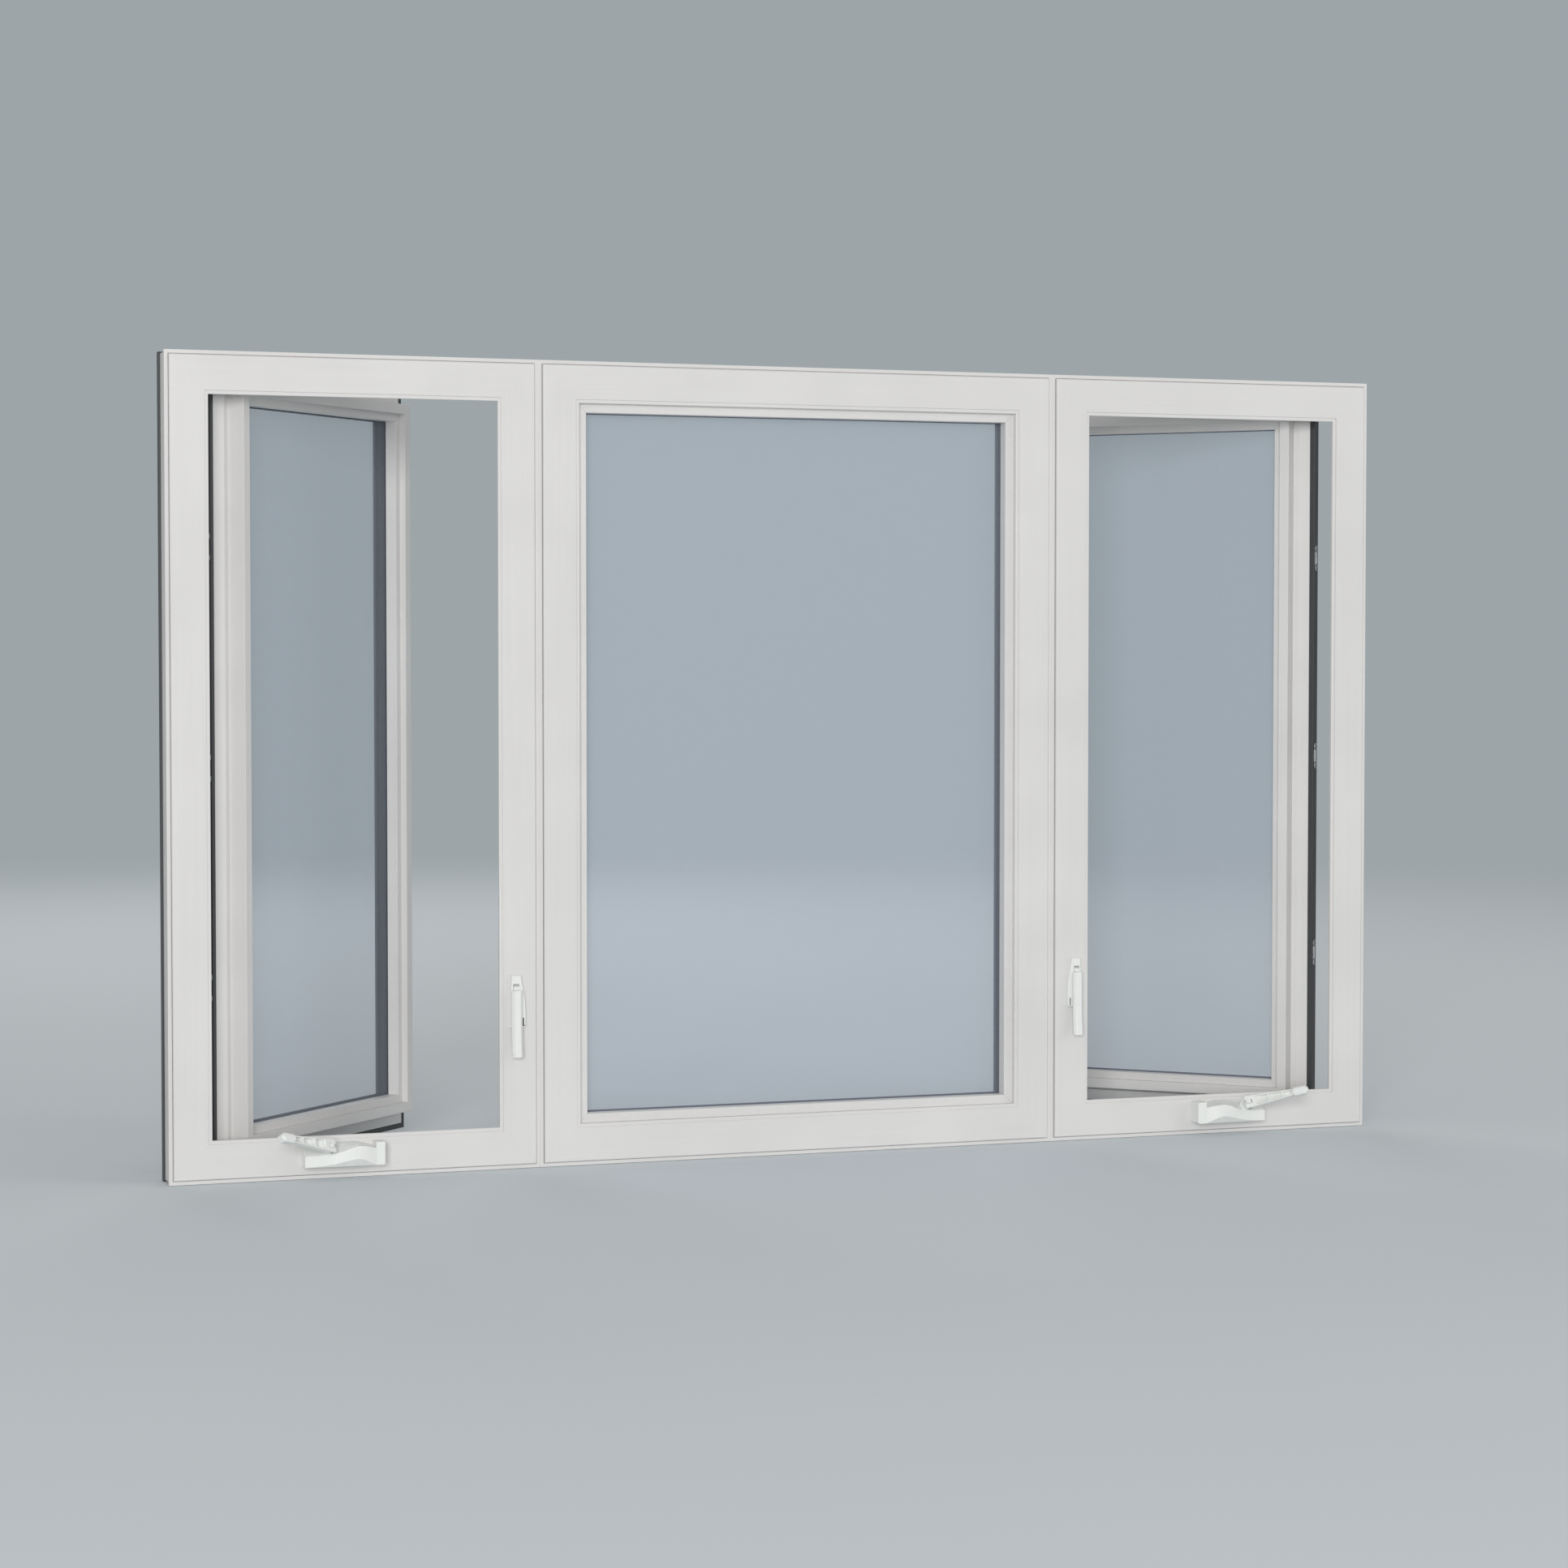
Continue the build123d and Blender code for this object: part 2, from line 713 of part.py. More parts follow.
with BuildPart() as crank_handle:
    with BuildSketch(handle_face):
        with BuildLine():
            Polyline(
                (-handle_tail, -handle_half_width(-handle_tail)),
                (handle_neck, -handle_half_width(handle_neck)),
                (handle_neck, handle_half_width(handle_neck)),
                (-handle_tail, handle_half_width(-handle_tail)),
                close=True,
            )
        make_face()
    extrude(amount=handle_depth / 2, both=True)
    tail_edges = crank_handle.edges().filter_by(out_axis).sort_by(run_axis)[:2]
    fillet(tail_edges, handle_corner)
    with BuildSketch(handle_face.offset(handle_wall - handle_depth / 2)):
        for start, end in zip(cell_starts, cell_ends):
            with BuildLine():
                Polyline(
                    (start, handle_wall - handle_half_width(start)),
                    (end, handle_wall - handle_half_width(end)),
                    (end, handle_half_width(end) - handle_wall),
                    (start, handle_half_width(start) - handle_wall),
                    close=True,
                )
            make_face()
    extrude(amount=handle_depth, mode=Mode.SUBTRACT)
    with BuildSketch(handle_face.offset(-handle_depth / 2)) as knob:
        with Locations((handle_neck + knob_length / 2 - handle_wall, 0)):
            Rectangle(knob_length, knob_width)
        chamfer(knob.vertices(), knob_corner)
    extrude(amount=knob_depth)
    chamfer(crank_handle.faces().sort_by(out_axis)[-1].edges(), knob_bevel)
    with BuildSketch(handle_turn.offset(-tongue_width / 2 - slide_fit)):
        Circle(tongue_radius + tongue_clearance)
    extrude(amount=tongue_width + 2 * slide_fit, mode=Mode.SUBTRACT)
    with BuildSketch(handle_turn.offset(-handle_tail_width / 2)):
        Circle(fold_pin_radius)
    extrude(amount=handle_tail_width)
save_pair(crank_handle.part, "crank_handle")

# Lock: an escutcheon on the mull jamb, with a lever that pulls out of it
lock_x = -picture_half - lock_inset
escutcheon_plane = Plane((lock_x, room_face, bottom), (1, 0, 0), (0, -1, 0))
lock_pivot_y = room_face - lock_pivot_depth
lock_pivot_z = bottom + lock_pivot_height
with BuildPart() as lock_escutcheons:
    with BuildSketch(escutcheon_plane):
        with BuildLine():
            Polyline(*escutcheon_outline, close=True)
        make_face()
    extrude(amount=escutcheon_depth)
    chamfer(lock_escutcheons.faces().sort_by(Axis.Y)[0].edges(), escutcheon_bevel)
    with BuildSketch(escutcheon_plane):
        with Locations((0, (lock_slot_bottom + lock_slot_top) / 2)):
            Rectangle(lock_slot_width, lock_slot_top - lock_slot_bottom)
        with Locations(escutcheon_slit_middle):
            Rectangle(escutcheon_slit_width, escutcheon_slit_height)
    extrude(amount=escutcheon_depth, mode=Mode.SUBTRACT)
    with BuildSketch(Plane.YZ.offset(lock_x)):
        with Locations((lock_pivot_y, lock_pivot_z)):
            Circle(lock_pin_radius)
    extrude(amount=lock_slot_width / 2, both=True)
    mirror(about=Plane.YZ)
save(lock_escutcheons.part, "lock_escutcheons")

lever_middle = (lever_top + lever_bottom) / 2
with BuildPart() as lock_lever:
    with BuildSketch(Plane.YZ.offset(lock_x)):
        with BuildLine():
            front = Line(
                (room_face - lever_front, bottom + lever_top),
                (room_face - lever_front, bottom + lever_middle),
            )
            front_foot = (room_face - lever_front - lever_flare, bottom + lever_bottom)
            front_curl = TangentArc(front @ 1, front_foot, tangent=front % 1)
            back = Line(
                (room_face - lever_back, bottom + lever_top),
                (room_face - lever_back, bottom + lever_middle),
            )
            back_foot = (room_face - lever_back - lever_flare, bottom + lever_bottom)
            back_curl = TangentArc(back @ 1, back_foot, tangent=back % 1)
            Line(front @ 0, back @ 0)
            Line(front_curl @ 1, back_curl @ 1)
        make_face()
    extrude(amount=lever_width / 2, both=True)
    front_edges = lock_lever.edges().filter_by(GeomType.CIRCLE).sort_by(Axis.Y)[:2]
    front_edges += lock_lever.edges().filter_by(Axis.Z).sort_by(Axis.Y)[:2]
    chamfer(front_edges, lever_bevel)
    with BuildSketch(Plane.YZ.offset(lock_x)):
        with Locations((lock_pivot_y, lock_pivot_z)):
            Circle(lock_hub_radius)
        with BuildLine():
            Polyline(
                (lock_pivot_y, lock_pivot_z),
                (lock_pivot_y, lock_pivot_z - lock_hub_radius),
                (room_face - lever_front + lever_flare, lock_pivot_z - lock_neck_drop),
                (room_face - lever_front + lever_flare, bottom + lever_top),
                close=True,
            )
        make_face()
        with Locations((lock_pivot_y, lock_pivot_z)):
            Circle(lock_pin_radius + running_fit, mode=Mode.SUBTRACT)
    extrude(amount=lock_neck_width / 2, both=True)
save_pair(lock_lever.part, "lock_lever")
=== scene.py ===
import json
import math
import bmesh
import bpy
from mathutils import Matrix, Vector

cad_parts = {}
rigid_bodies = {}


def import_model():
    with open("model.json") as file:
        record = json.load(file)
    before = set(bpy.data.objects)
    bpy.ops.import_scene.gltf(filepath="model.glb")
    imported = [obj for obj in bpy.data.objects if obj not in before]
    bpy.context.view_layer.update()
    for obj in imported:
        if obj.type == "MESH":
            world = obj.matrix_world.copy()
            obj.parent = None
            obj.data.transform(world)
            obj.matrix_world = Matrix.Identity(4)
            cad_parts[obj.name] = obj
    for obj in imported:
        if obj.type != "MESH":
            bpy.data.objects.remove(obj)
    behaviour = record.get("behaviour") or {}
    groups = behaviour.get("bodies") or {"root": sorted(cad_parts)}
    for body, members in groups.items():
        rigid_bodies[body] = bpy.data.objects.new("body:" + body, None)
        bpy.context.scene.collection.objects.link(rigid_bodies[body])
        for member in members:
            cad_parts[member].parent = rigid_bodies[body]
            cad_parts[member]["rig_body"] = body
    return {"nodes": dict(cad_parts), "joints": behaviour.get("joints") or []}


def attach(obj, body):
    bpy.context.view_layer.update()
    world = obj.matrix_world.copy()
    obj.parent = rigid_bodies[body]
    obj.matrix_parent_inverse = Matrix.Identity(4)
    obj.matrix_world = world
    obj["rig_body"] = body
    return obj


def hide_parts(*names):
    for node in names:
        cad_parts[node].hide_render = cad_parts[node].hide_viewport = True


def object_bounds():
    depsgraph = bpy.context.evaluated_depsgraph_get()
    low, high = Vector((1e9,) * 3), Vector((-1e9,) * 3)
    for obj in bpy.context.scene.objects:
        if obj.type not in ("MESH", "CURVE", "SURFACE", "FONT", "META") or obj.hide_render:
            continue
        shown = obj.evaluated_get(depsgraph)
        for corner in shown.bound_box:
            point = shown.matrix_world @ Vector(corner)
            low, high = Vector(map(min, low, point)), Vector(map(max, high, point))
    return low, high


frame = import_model()
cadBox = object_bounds()
nodes = frame["nodes"]
scene = bpy.context.scene
scene.view_settings.view_transform = "Standard"
sides = ("left", "right")
mm = 0.001
print("frame loaded:", len(nodes), "nodes")


def linear(hexColour):
    channels = [int(hexColour[i:i + 2], 16) / 255 for i in (1, 3, 5)]
    return [c / 12.92 if c <= 0.04045 else ((c + 0.055) / 1.055) ** 2.4 for c in channels] + [1]


def addNode(tree, kind, inputs=None, **settings):
    node = tree.nodes.new(kind)
    for name, value in settings.items():
        setattr(node, name, value)
    for key, value in (inputs or {}).items():
        if isinstance(value, bpy.types.NodeSocket):
            tree.links.new(value, node.inputs[key])
        else:
            node.inputs[key].default_value = value
    return node


def newMaterial(name):
    material = bpy.data.materials.new(name)
    material.use_nodes = True
    material.node_tree.nodes.clear()
    return material, material.node_tree


# White PVC-U, extruded: an even satin white, with die lines a few millimetres apart
# that run along each bar and only show as a faint change of gloss
def extrudedVinyl(name, stretch):
    look = {"white": "#DDDBD9", "shade": "#D7D5D3", "lineSpacing": 3.0, "lineShare": 0.45,
            "cloudSize": 160.0, "lineRelief": 0.02}
    material, tree = newMaterial(name)
    place = addNode(tree, "ShaderNodeTexCoord")
    along = addNode(tree, "ShaderNodeMapping", {"Vector": place.outputs["Object"], "Scale": stretch})
    lines = addNode(tree, "ShaderNodeTexNoise", {
        "Vector": along.outputs["Vector"], "Scale": 1 / (look["lineSpacing"] * mm), "Detail": 3.0, "Roughness": 0.55})
    clouds = addNode(tree, "ShaderNodeTexNoise", {
        "Vector": place.outputs["Object"], "Scale": 1 / (look["cloudSize"] * mm), "Detail": 2.0})
    blend = addNode(tree, "ShaderNodeMath", {
        0: lines.outputs["Fac"], 1: look["lineShare"], 2: clouds.outputs["Fac"]}, operation="MULTIPLY_ADD")
    tone = addNode(tree, "ShaderNodeMapRange", {"Value": blend.outputs["Value"], "From Min": 0.5, "From Max": 0.95})
    colour = addNode(tree, "ShaderNodeMix", {
        "Factor": tone.outputs["Result"], "A": linear(look["shade"]), "B": linear(look["white"])}, data_type="RGBA")
    gloss = addNode(tree, "ShaderNodeMapRange", {
        "Value": lines.outputs["Fac"], "From Min": 0.3, "From Max": 0.7, "To Min": 0.34, "To Max": 0.46})
    relief = addNode(tree, "ShaderNodeBump", {
        "Height": lines.outputs["Fac"], "Strength": 0.25, "Distance": look["lineRelief"] * mm})
    surface = addNode(tree, "ShaderNodeBsdfPrincipled", {
        "Base Color": colour.outputs["Result"], "Roughness": gloss.outputs["Result"],
        "Normal": relief.outputs["Normal"], "IOR": 1.53})
    addNode(tree, "ShaderNodeOutputMaterial", {"Surface": surface.outputs["BSDF"]})
    return material


# Painted aluminium cladding: a dark baked enamel with fine orange peel and a dull sheen
def bakedEnamelCladding():
    look = {"dark": "#2F3032", "light": "#3A3B3D", "peelSize": 2.2, "peelRelief": 0.03, "cloudSize": 90.0}
    material, tree = newMaterial("bakedEnamelCladding")
    place = addNode(tree, "ShaderNodeTexCoord")
    peel = addNode(tree, "ShaderNodeTexNoise", {
        "Vector": place.outputs["Object"], "Scale": 1 / (look["peelSize"] * mm), "Detail": 2.0})
    clouds = addNode(tree, "ShaderNodeTexNoise", {
        "Vector": place.outputs["Object"], "Scale": 1 / (look["cloudSize"] * mm), "Detail": 3.0})
    colour = addNode(tree, "ShaderNodeMix", {
        "Factor": clouds.outputs["Fac"], "A": linear(look["dark"]), "B": linear(look["light"])}, data_type="RGBA")
    gloss = addNode(tree, "ShaderNodeMapRange", {"Value": clouds.outputs["Fac"], "To Min": 0.36, "To Max": 0.5})
    relief = addNode(tree, "ShaderNodeBump", {
        "Height": peel.outputs["Fac"], "Strength": 0.3, "Distance": look["peelRelief"] * mm})
    surface = addNode(tree, "ShaderNodeBsdfPrincipled", {
        "Base Color": colour.outputs["Result"], "Roughness": gloss.outputs["Result"],
        "Normal": relief.outputs["Normal"], "IOR": 1.5})
    addNode(tree, "ShaderNodeOutputMaterial", {"Surface": surface.outputs["BSDF"]})
    return material


# Float glass: clear, with a faint blue-white veil of soft reflection that grows as the view flattens
def floatGlass():
    look = {"tint": "#FCFDFD", "veil": "#D3DAEC", "headOn": 0.09, "flat": 0.45, "smearSize": 120.0}
    material, tree = newMaterial("floatGlass")
    place = addNode(tree, "ShaderNodeTexCoord")
    facing = addNode(tree, "ShaderNodeLayerWeight", {"Blend": 0.5})
    steep = addNode(tree, "ShaderNodeMath", {0: facing.outputs["Facing"], 1: 5.0}, operation="POWER")
    veil = addNode(tree, "ShaderNodeMath", {
        0: steep.outputs["Value"], 1: look["flat"], 2: look["headOn"]}, operation="MULTIPLY_ADD")
    smears = addNode(tree, "ShaderNodeTexNoise", {
        "Vector": place.outputs["Object"], "Scale": 1 / (look["smearSize"] * mm), "Detail": 4.0})
    gloss = addNode(tree, "ShaderNodeMapRange", {
        "Value": smears.outputs["Fac"], "From Min": 0.35, "From Max": 0.75, "To Min": 0.0, "To Max": 0.06})
    through = addNode(tree, "ShaderNodeBsdfTransparent", {"Color": linear(look["tint"])})
    surface = addNode(tree, "ShaderNodeBsdfPrincipled", {
        "Base Color": linear(look["veil"]), "Roughness": gloss.outputs["Result"], "IOR": 1.52})
    pane = addNode(tree, "ShaderNodeMixShader", {
        0: veil.outputs["Value"], 1: through.outputs["BSDF"], 2: surface.outputs["BSDF"]})
    addNode(tree, "ShaderNodeOutputMaterial", {"Surface": pane.outputs["Shader"]})
    return material


# Warm-edge spacer: dark foam with a fine open grain, dull all over
def foamSpacer():
    look = {"dark": "#26282B", "light": "#33363A", "grain": 1.2}
    material, tree = newMaterial("foamSpacer")
    place = addNode(tree, "ShaderNodeTexCoord")
    grain = addNode(tree, "ShaderNodeTexVoronoi", {
        "Vector": place.outputs["Object"], "Scale": 1 / (look["grain"] * mm)})
    colour = addNode(tree, "ShaderNodeMix", {
        "Factor": grain.outputs["Distance"], "A": linear(look["dark"]), "B": linear(look["light"])}, data_type="RGBA")
    relief = addNode(tree, "ShaderNodeBump", {
        "Height": grain.outputs["Distance"], "Strength": 0.4, "Distance": 0.1 * mm})
    surface = addNode(tree, "ShaderNodeBsdfPrincipled", {
        "Base Color": colour.outputs["Result"], "Roughness": 0.7, "Normal": relief.outputs["Normal"]})
    addNode(tree, "ShaderNodeOutputMaterial", {"Surface": surface.outputs["BSDF"]})
    return material


# EPDM rubber: near black, matt, with a dusty bloom. Its grain is drawn coarser than it is, so that it shows
def sealRubber():
    look = {"black": "#1B1C1D", "bloom": "#2B2C2D", "bloomSize": 12.0, "grain": 0.8}
    material, tree = newMaterial("sealRubber")
    place = addNode(tree, "ShaderNodeTexCoord")
    bloom = addNode(tree, "ShaderNodeTexNoise", {
        "Vector": place.outputs["Object"], "Scale": 1 / (look["bloomSize"] * mm), "Detail": 4.0})
    grain = addNode(tree, "ShaderNodeTexNoise", {
        "Vector": place.outputs["Object"], "Scale": 1 / (look["grain"] * mm)})
    colour = addNode(tree, "ShaderNodeMix", {
        "Factor": bloom.outputs["Fac"], "A": linear(look["black"]), "B": linear(look["bloom"])}, data_type="RGBA")
    relief = addNode(tree, "ShaderNodeBump", {"Height": grain.outputs["Fac"], "Strength": 0.3, "Distance": 0.05 * mm})
    surface = addNode(tree, "ShaderNodeBsdfPrincipled", {
        "Base Color": colour.outputs["Result"], "Roughness": 0.68, "Normal": relief.outputs["Normal"]})
    addNode(tree, "ShaderNodeOutputMaterial", {"Surface": surface.outputs["BSDF"]})
    return material


# Stamped stainless steel: mid grey metal with soft patches of wear and rolling marks along the strip,
# which are drawn coarser than they are, so that they show
def stampedSteel():
    look = {"dark": "#A6A8A9", "light": "#CFD1D2", "markSpacing": 0.9, "wearSize": 14.0}
    material, tree = newMaterial("stampedSteel")
    place = addNode(tree, "ShaderNodeTexCoord")
    along = addNode(tree, "ShaderNodeMapping", {"Vector": place.outputs["Object"], "Scale": (0.08, 0.08, 1)})
    marks = addNode(tree, "ShaderNodeTexNoise", {
        "Vector": along.outputs["Vector"], "Scale": 1 / (look["markSpacing"] * mm), "Detail": 3.0})
    wear = addNode(tree, "ShaderNodeTexNoise", {
        "Vector": place.outputs["Object"], "Scale": 1 / (look["wearSize"] * mm), "Detail": 4.0})
    colour = addNode(tree, "ShaderNodeMix", {
        "Factor": wear.outputs["Fac"], "A": linear(look["dark"]), "B": linear(look["light"])}, data_type="RGBA")
    gloss = addNode(tree, "ShaderNodeMapRange", {"Value": marks.outputs["Fac"], "To Min": 0.36, "To Max": 0.58})
    relief = addNode(tree, "ShaderNodeBump", {"Height": marks.outputs["Fac"], "Strength": 0.25, "Distance": 0.03 * mm})
    surface = addNode(tree, "ShaderNodeBsdfPrincipled", {
        "Base Color": colour.outputs["Result"], "Metallic": 1.0, "Roughness": gloss.outputs["Result"],
        "Normal": relief.outputs["Normal"]})
    addNode(tree, "ShaderNodeOutputMaterial", {"Surface": surface.outputs["BSDF"]})
    return material


# Zinc castings with a white powder coat: brighter than the vinyl, glossier, with a fine ripple
def powderCoatedCasting():
    look = {"white": "#EDEEEA", "shade": "#E4E6E2", "rippleSize": 1.6, "cloudSize": 25.0}
    material, tree = newMaterial("powderCoatedCasting")
    place = addNode(tree, "ShaderNodeTexCoord")
    ripple = addNode(tree, "ShaderNodeTexNoise", {
        "Vector": place.outputs["Object"], "Scale": 1 / (look["rippleSize"] * mm), "Detail": 2.0})
    clouds = addNode(tree, "ShaderNodeTexNoise", {
        "Vector": place.outputs["Object"], "Scale": 1 / (look["cloudSize"] * mm), "Detail": 3.0})
    colour = addNode(tree, "ShaderNodeMix", {
        "Factor": clouds.outputs["Fac"], "A": linear(look["shade"]), "B": linear(look["white"])}, data_type="RGBA")
    gloss = addNode(tree, "ShaderNodeMapRange", {"Value": clouds.outputs["Fac"], "To Min": 0.2, "To Max": 0.32})
    relief = addNode(tree, "ShaderNodeBump", {"Height": ripple.outputs["Fac"], "Strength": 0.2, "Distance": 0.03 * mm})
    surface = addNode(tree, "ShaderNodeBsdfPrincipled", {
        "Base Color": colour.outputs["Result"], "Roughness": gloss.outputs["Result"],
        "Normal": relief.outputs["Normal"], "IOR": 1.5})
    addNode(tree, "ShaderNodeOutputMaterial", {"Surface": surface.outputs["BSDF"]})
    return material


vinylUpright = extrudedVinyl("extrudedVinylUpright", (1, 1, 0.01))
vinylLevel = extrudedVinyl("extrudedVinylLevel", (0.01, 0.01, 1))
vinylBead = extrudedVinyl("extrudedVinylBead", (0.3, 0.3, 0.3))
cladding = bakedEnamelCladding()
glass = floatGlass()
foam = foamSpacer()
rubber = sealRubber()
steel = stampedSteel()
casting = powderCoatedCasting()
print("materials ready")


# Lengths in millimetres, angles in degrees
edgeWork = {"merge": 0.002, "flat": 0.5, "sharp": 30.0, "segments": 3, "shadeSplit": 40.0}


# A merged copy of a CAD node with its outer edges rounded, so that they catch the light
def dressNode(nodeName, material, bevel, runLength=0.0, endShare=0.2, smooth=False):
    mesh = nodes[nodeName].data.copy()
    mesh.materials.clear()
    mesh.materials.append(material)
    shell = bmesh.new()
    shell.from_mesh(mesh)
    bmesh.ops.remove_doubles(shell, verts=shell.verts, dist=edgeWork["merge"] * mm)
    bmesh.ops.dissolve_limit(shell, angle_limit=math.radians(edgeWork["flat"]),
                             verts=shell.verts, edges=shell.edges)
    weight = shell.edges.layers.float.new("bevel_weight_edge")
    for edge in shell.edges:
        outer = len(edge.link_faces) == 2 and edge.is_convex
        if outer and edge.calc_face_angle() > math.radians(edgeWork["sharp"]):
            edge[weight] = 1.0 if edge.calc_length() > runLength else endShare
    for face in shell.faces:
        face.smooth = smooth
    shell.to_mesh(mesh)
    shell.free()
    piece = bpy.data.objects.new(nodeName + ".dressed", mesh)
    scene.collection.objects.link(piece)
    edgeRound = piece.modifiers.new("edgeRound", "BEVEL")
    edgeRound.limit_method = "WEIGHT"
    edgeRound.width = bevel * mm
    edgeRound.segments = edgeWork["segments"]
    if smooth:
        mesh.set_sharp_from_angle(angle=math.radians(edgeWork["shadeSplit"]))
        piece.modifiers.new("evenShade", "WEIGHTED_NORMAL").keep_sharp = True
    finished = bpy.data.meshes.new_from_object(piece.evaluated_get(bpy.context.evaluated_depsgraph_get()))
    piece.modifiers.clear()
    piece.data = finished
    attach(piece, nodes[nodeName]["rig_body"])
    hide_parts(nodeName)


# White bars: long edges are rounded, and the welded mitres keep a hairline
vinylBars = {
    "upright": ["frame_hinge_jamb", "frame_lock_jamb", "sash_hinge_stile", "sash_lock_stile"],
    "level": ["frame_head", "frame_sill", "sash_top_rail", "sash_bottom_rail"],
    "pictureLevel": ["picture_head", "picture_sill"],
    "pictureUpright": ["picture_left_jamb", "picture_right_jamb"],
    "edgeRound": 0.5,
    "hairline": 0.2,
    "shortestRun": 0.3,
}
for side in sides:
    for kind, vinyl in (("upright", vinylUpright), ("level", vinylLevel)):
        for bar in vinylBars[kind]:
            dressNode(f"{side}_{bar}", vinyl, vinylBars["edgeRound"],
                      vinylBars["shortestRun"], vinylBars["hairline"])
for kind, vinyl in (("pictureLevel", vinylLevel), ("pictureUpright", vinylUpright)):
    for bar in vinylBars[kind]:
        dressNode(bar, vinyl, vinylBars["edgeRound"],
                  vinylBars["shortestRun"], vinylBars["hairline"])
print("vinyl bars dressed")

# Dark outdoor cladding: drawn bars with small radii
claddingBars = {"edgeRound": 0.6, "hairline": 0.3, "shortestRun": 0.3}
for name in ("exterior_cladding", "left_sash_cladding", "right_sash_cladding"):
    dressNode(name, cladding, claddingBars["edgeRound"],
              claddingBars["shortestRun"], claddingBars["hairline"])

# Hardware: castings with soft edges, and stamped strips with a thin broken edge
castings = {"operator_covers": 1.2, "lock_escutcheons": 0.8}
stampings = {"stay_tracks": 0.2}
for side in sides:
    castings.update({f"{side}_crank_spindle": 0.6, f"{side}_crank_handle": 0.9, f"{side}_lock_lever": 1.4})
    stampings.update({f"{side}_sash_arms": 0.3, f"{side}_snubbers": 0.3, f"{side}_stud_bracket": 0.6,
                      f"{side}_support_arms": 0.3, f"{side}_operator_arm": 0.8})
for name, radius in castings.items():
    dressNode(name, casting, radius, smooth=True)
for name, radius in stampings.items():
    dressNode(name, steel, radius, smooth=True)
print("hardware dressed")

# Nodes whose solids are right as they are
plainNodes = {
    "picture_bead": vinylBead, "picture_glass": glass, "picture_spacer": foam,
    "frame_seals": rubber,
}
for side in sides:
    plainNodes.update({
        f"{side}_sash_bead": vinylBead, f"{side}_sash_glass": glass, f"{side}_sash_spacer": foam,
        f"{side}_stay_shoes": steel,
    })
for name, material in plainNodes.items():
    data = nodes[name].data
    data.materials.clear()
    data.materials.append(material)
print("other nodes finished")

# Plan of the left casement in millimetres: a shut sash turns about its shoe pivot,
# which slides along the track, and the right casement is its mirror image
plan = {
    "hingeSide": -1066.8, "roomFace": -34.0, "bottom": -3.0, "top": 1317.8, "middle": 657.4,
    "shoeShut": (-1044.8, 19.0), "shoeOpen": (-981.242, 19.0), "openAngle": 45.0,
}
turned = Matrix.Rotation(math.radians(plan["openAngle"]), 3, "Z")


def onSash(point):
    pivot = Vector((*plan["shoeShut"], 0))
    return turned @ (Vector(point) - pivot) + Vector((*plan["shoeOpen"], 0))


def onSide(vector, side):
    return Vector((-vector[0] if side == "right" else vector[0], vector[1], vector[2]))


headShape = {"segments": 20, "rings": 10, "recessLift": 0.53, "recessShare": 0.18, "shadeSplit": 50.0}


